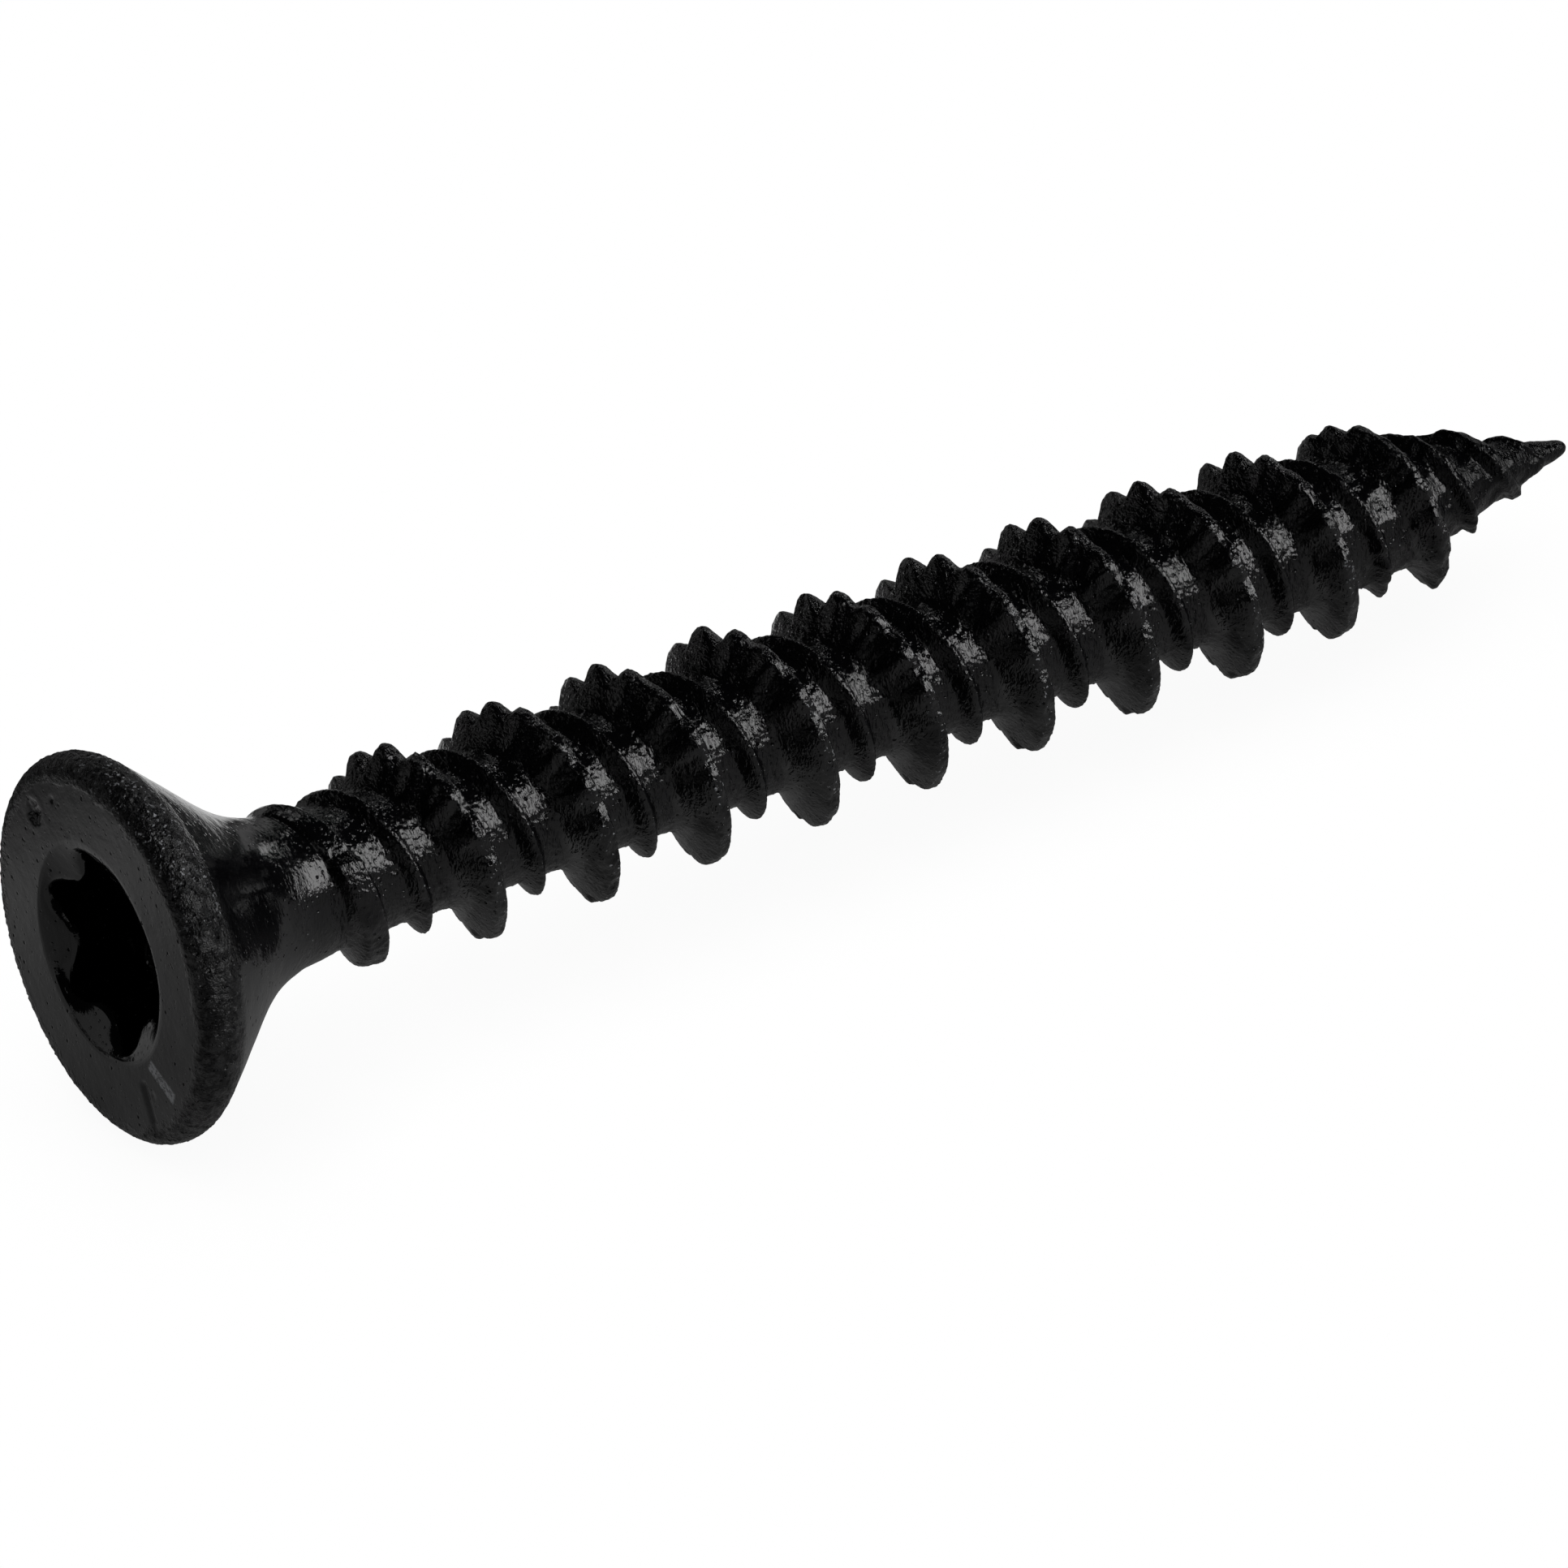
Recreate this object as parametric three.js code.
// Countersunk star-drive screw with a twin (high and low) right-hand thread.
// One solid: cold-headed and thread-rolled from a single blank, black coated.
//
// Frame: millimetres, +X runs along the screw from the head to the point,
// +Z up. The origin is on the screw's axis, halfway along its length, so the
// head's flat face is at x = -LENGTH / 2 and the point at x = +LENGTH / 2.
// Below, "s" is the distance along the axis from the head's flat face, and
// angles are in degrees about +X, from +Y towards +Z.

import * as THREE from 'three';

// ---------------------------------------------------------------- dimensions
const LENGTH = 57.15;            // overall, flat face to point (2 1/4 in)
const HEAD_D = 12.50;            // largest diameter of the head
const FACE_D = 11.46;            // flat annulus, outer diameter
const PITCH = 4.185;             // lead of each of the two threads
const HIGH_D = 7.28;             // high thread, over the crests
const LOW_D = 5.48;              // low thread, over the crests
const ROOT_D = 4.24;             // shank between the threads
const LOW_OFFSET = 0.4884;       // low thread, as a fraction of the pitch
const HELIX_START = 1.946;       // s of the high crest at angle 0, turn 0

const HIGH_LAND = 0.40;          // width of the high crest
const HIGH_BASE = 1.44;          // width of the high thread at its root
const LOW_BASE = 0.84;           // width of the low thread at its root

const TEETH_PER_TURN = 14;       // serrations rolled into the high crest
const TOOTH_PHASE = 4.5;         // angle of one tooth's tip
const TOOTH_COLUMNS = [0, 0.365, 0.635]; // tip and both notch corners, in tooth steps
const NOTCH_DEEP = 0.42;         // notch depth on the head side of the crest
const NOTCH_THROUGH = 0.30;      // and on the point side
const NOTCH_FAINT = 0.10;        // over the sector where the notches fade out
const FAINT_SECTOR = [173, 245]; // angles between which they fade
const NOTCH_RANGE = [9.5, 46.5]; // s over which the crest is notched

const DRIVE_LOBE_R = 3.30;       // star recess, size 40: across points / 2
const DRIVE_RIB_R = 2.40;        // and across the ribs / 2
const DRIVE_DEPTH = 3.10;        // face to the flat floor
const DRIVE_PHASE = 12.0;        // direction of one lobe
const LOBE_SHARPNESS = 1.25;     // above 1, lobes are narrower than ribs
const FLOOR_SCALE = 0.9;         // floor outline, as a share of the star
const FLOOR_EDGE_SCALE = 0.98;   // outline where the floor's bevel begins
const FLOOR_BEVEL = 0.25;        // depth of that bevel
const ENTRY_LOBE_R = 3.50;       // rounded entry of the recess at the face
const ENTRY_RIB_R = 3.24;
const ENTRY_DEPTH = 0.50;
const ENTRY_MIDDLE = 0.3;        // middle ring of the entry, share of its depth

const HEAD_COLUMNS = 48;
const THREAD_START = 6.3;        // s of the ring where the thread lattice starts
const THREAD_END = 55.6;         // and ends
const END_MARGIN = 0.12;         // lattice points this near an end ring join it
const NOSE_COLUMNS = 14;

// Outline of the head below its flat face, as [s, radius]: rounded edge,
// straight countersink, then a hollow sweep into the neck.
const HEAD_PROFILE = [
  [0.00, FACE_D / 2], [0.07, 5.91], [0.27, 6.09], [0.68, HEAD_D / 2],
  [1.08, 6.20], [1.42, 5.99], [2.00, 5.48], [2.60, 4.92], [3.20, 4.37],
  [3.80, 3.83], [4.40, 3.30], [4.95, 2.90], [5.60, 2.62],
];

// Radii along the shank and over the two crests, as [s, radius].
const SHANK = [
  [5.6, 2.62], [6.3, 2.48], [7.2, 2.36], [8.0, 2.20], [9.0, 2.11],
  [10.0, ROOT_D / 2], [44.0, ROOT_D / 2], [48.4, 2.05], [49.4, 1.96],
  [54.0, 0.91], [56.2, 0.42],
];
const HIGH_CREST = [
  [6.3, 2.52], [6.8, 2.68], [8.85, 3.08], [10.9, 3.48], [12.9, HIGH_D / 2],
  [42.0, HIGH_D / 2], [46.1, 3.34], [50.4, 2.70], [52.4, 1.85], [54.5, 1.00],
  [55.6, 0.55],
];
const LOW_CREST = [
  [7.6, 2.28], [9.0, 2.50], [10.8, 2.65], [12.4, LOW_D / 2],
  [44.3, LOW_D / 2], [48.3, 2.49], [52.5, 1.52], [54.5, 0.90], [55.6, 0.55],
];

// Outline of the nose, as [s, radius], closing at the point.
const NOSE_PROFILE = [[56.2, 0.42], [56.85, 0.28], [57.06, 0.18], [LENGTH, 0]];

// ------------------------------------------------------------------- helpers
const radians = (degrees) => (degrees * Math.PI) / 180;

// Radius at s, interpolated in a table; constant before its first entry.
function radiusAlong(table, s) {
  const next = table.findIndex(([tableS]) => s <= tableS);
  if (next === 0) return table[0][1];
  const [s0, r0] = table[next - 1];
  const [s1, r1] = table[next];
  return r0 + ((r1 - r0) * (s - s0)) / (s1 - s0);
}

const evenAngles = (phase, count) =>
  Array.from({ length: count }, (_, i) => phase + (360 / count) * i);

// --------------------------------------------------------------------- shell
// Vertices are shared, so that the surface is one closed shell.
const WELD_CELLS_PER_MM = 2e3;
const points = [];
const vertexIds = new Map();
const triangleIndex = [];

function vertex(s, radius, degrees) {
  const angle = radians(degrees);
  const point = new THREE.Vector3(
    s - LENGTH / 2,
    radius * Math.cos(angle),
    radius * Math.sin(angle),
  );
  const key = point.toArray().map((value) => Math.round(value * WELD_CELLS_PER_MM)).join();
  if (!vertexIds.has(key)) {
    vertexIds.set(key, points.length);
    points.push(point);
  }
  return vertexIds.get(key);
}

// Corners are given clockwise as seen from outside, and stored the other way
// round to face outwards. Triangles collapsed by shared vertices are left out.
function triangle(a, b, c) {
  if (a === b || b === c || c === a) return;
  triangleIndex.push(a, c, b);
}

function quad(a, b, c, d) {
  triangle(a, b, c);
  triangle(a, c, d);
}

// A ring is a list of { degrees, id } in order of angle.
function ring(s, radiusAt, angles) {
  return angles.map((degrees) => ({ degrees, id: vertex(s, radiusAt(degrees), degrees) }));
}

// Sections are [s, radius as a function of angle].
const ringsOf = (sections, angles) =>
  sections.map(([s, radiusAt]) => ring(s, radiusAt, angles));

const roundSections = (profile) => profile.map(([s, radius]) => [s, () => radius]);

const shankRing = (s, angles) => ring(s, () => radiusAlong(SHANK, s), angles);

// Joins successive rings that have the same angles. A ring of zero radius
// is a single vertex and closes the surface.
function joinRings(rings) {
  for (let i = 1; i < rings.length; i++) {
    const lower = rings[i - 1];
    const upper = rings[i];
    for (let j = 0; j < lower.length; j++) {
      const k = (j + 1) % lower.length;
      quad(lower[j].id, upper[j].id, upper[k].id, lower[k].id);
    }
  }
}

// Joins two rings with different angles, stepping along whichever ring has
// the nearer next corner. Starts from the upper corner nearest to lower[0].
function zipRings(lower, upper) {
  const corner = (list, i) => list[i % list.length].id;
  const angle = (list, i) =>
    list[i % list.length].degrees + 360 * Math.floor(i / list.length);
  const gaps = upper.map(({ degrees }) => Math.abs(degrees - lower[0].degrees));
  const start = gaps.indexOf(Math.min(...gaps));
  const end = start + upper.length;

  let i = 0;
  let j = start;
  while (i < lower.length || j < end) {
    const lowerIsNext = angle(lower, i + 1) <= angle(upper, j + 1);
    if (j >= end || (i < lower.length && lowerIsNext)) {
      triangle(corner(lower, i), corner(upper, j), corner(lower, i + 1));
      i++;
    } else {
      triangle(corner(lower, i), corner(upper, j), corner(upper, j + 1));
      j++;
    }
  }
}

// ---------------------------------------------------- head and drive recess
// Six-lobed star with narrow lobes and broad round ribs, as a radius function.
function star(lobeRadius, ribRadius, scale = 1) {
  return (degrees) => {
    const wave = 0.5 + 0.5 * Math.cos(radians(6 * (degrees - DRIVE_PHASE)));
    return scale * (ribRadius + (lobeRadius - ribRadius) * Math.pow(wave, LOBE_SHARPNESS));
  };
}

// From the recess floor up to the face, then down the outside to the neck.
// Returns the neck's ring.
function buildHead() {
  const middleLobeRadius = (2 * ENTRY_LOBE_R + DRIVE_LOBE_R) / 3;
  const middleRibRadius = (ENTRY_RIB_R + DRIVE_RIB_R) / 2;
  const sections = [
    [DRIVE_DEPTH, () => 0],
    [DRIVE_DEPTH, star(DRIVE_LOBE_R, DRIVE_RIB_R, FLOOR_SCALE)],
    [DRIVE_DEPTH - FLOOR_BEVEL, star(DRIVE_LOBE_R, DRIVE_RIB_R, FLOOR_EDGE_SCALE)],
    [ENTRY_DEPTH, star(DRIVE_LOBE_R, DRIVE_RIB_R)],
    [ENTRY_DEPTH * ENTRY_MIDDLE, star(middleLobeRadius, middleRibRadius)],
    [0, star(ENTRY_LOBE_R, ENTRY_RIB_R)],
    ...roundSections(HEAD_PROFILE),
  ];
  const rings = ringsOf(sections, evenAngles(DRIVE_PHASE, HEAD_COLUMNS));
  joinRings(rings);
  return rings.at(-1);
}

// -------------------------------------------------------------------- thread
// The lattice's rows follow the helix: each row has a fixed distance from the
// high crest, and a whole turn leads to the same row one pitch further on.
const toothStep = 360 / TEETH_PER_TURN;
const threadAngles = [];
for (let tooth = 0; tooth < TEETH_PER_TURN; tooth++) {
  for (const share of TOOTH_COLUMNS) {
    threadAngles.push(TOOTH_PHASE + toothStep * (tooth + share));
  }
}

// "at" is the distance along the axis from the middle of the high crest.
const lowCentre = LOW_OFFSET * PITCH;
const ROWS = [
  { at: -HIGH_BASE / 2, kind: 'root' },
  { at: -HIGH_LAND / 2, kind: 'high', notch: NOTCH_DEEP },
  { at: HIGH_LAND / 2, kind: 'high', notch: NOTCH_THROUGH },
  { at: HIGH_BASE / 2, kind: 'root' },
  { at: lowCentre - LOW_BASE / 2, kind: 'root' },
  { at: lowCentre, kind: 'low' },
  { at: lowCentre + LOW_BASE / 2, kind: 'root' },
];

// Depth of the notch at a column, for the full height of the high thread.
function notchDepth(column, s, fullDepth) {
  const isTip = column % TOOTH_COLUMNS.length === 0;
  if (isTip || s < NOTCH_RANGE[0] || s > NOTCH_RANGE[1]) return 0;
  const degrees = threadAngles[column];
  const isFaint = degrees > FAINT_SECTOR[0] && degrees < FAINT_SECTOR[1];
  return isFaint ? NOTCH_FAINT : fullDepth;
}

function threadRadius({ kind, notch }, column, s) {
  const root = radiusAlong(SHANK, s);
  if (kind === 'root') return root;
  if (kind === 'low') return Math.max(root, radiusAlong(LOW_CREST, s));
  const cutShare = notchDepth(column, s, notch) / (HIGH_D / 2 - ROOT_D / 2);
  return root + (radiusAlong(HIGH_CREST, s) - root) * (1 - cutShare);
}

function latticeVertex(row, column) {
  if (column === threadAngles.length) return latticeVertex(row + ROWS.length, 0);
  const rowType = ROWS[row % ROWS.length];
  const turn = Math.floor(row / ROWS.length) - 1;
  const degrees = threadAngles[column];
  const s = HELIX_START + PITCH * turn + rowType.at + (PITCH * degrees) / 360;
  // rows that run past either end collapse onto the end ring
  if (s < THREAD_START + END_MARGIN) {
    return vertex(THREAD_START, radiusAlong(SHANK, THREAD_START), degrees);
  }
  if (s > THREAD_END - END_MARGIN) {
    return vertex(THREAD_END, radiusAlong(SHANK, THREAD_END), degrees);
  }
  return vertex(s, threadRadius(rowType, column, s), degrees);
}

function buildThread() {
  // two turns more than the length holds, to cover both ends
  const turns = Math.ceil((THREAD_END - HELIX_START) / PITCH) + 2;
  for (let row = 0; row < ROWS.length * turns; row++) {
    for (let column = 0; column < threadAngles.length; column++) {
      quad(
        latticeVertex(row, column),
        latticeVertex(row + 1, column),
        latticeVertex(row + 1, column + 1),
        latticeVertex(row, column + 1),
      );
    }
  }
}

// --------------------------------------------------------------------- point
function buildPoint() {
  const noseAngles = evenAngles(TOOTH_PHASE, NOSE_COLUMNS);
  const rings = ringsOf(roundSections(NOSE_PROFILE), noseAngles);
  zipRings(shankRing(THREAD_END, threadAngles), rings[0]);
  joinRings(rings);
}

// ---------------------------------------------------------------------- mesh
function buildScrewGeometry() {
  const neckRing = buildHead();
  buildThread();
  zipRings(neckRing, shankRing(THREAD_START, threadAngles));
  buildPoint();

  const geometry = new THREE.BufferGeometry();
  geometry.setFromPoints(points);
  geometry.setIndex(triangleIndex);
  geometry.computeVertexNormals();
  return geometry;
}

const blackCoat = new THREE.MeshStandardMaterial({
  color: 0x131416,
  roughness: 0.42,
  metalness: 0.15,
});

const screw = new THREE.Mesh(buildScrewGeometry(), blackCoat);
screw.name = 'screw';

const model = new THREE.Group();
model.name = 'countersunk_screw';
model.add(screw);

export default model;
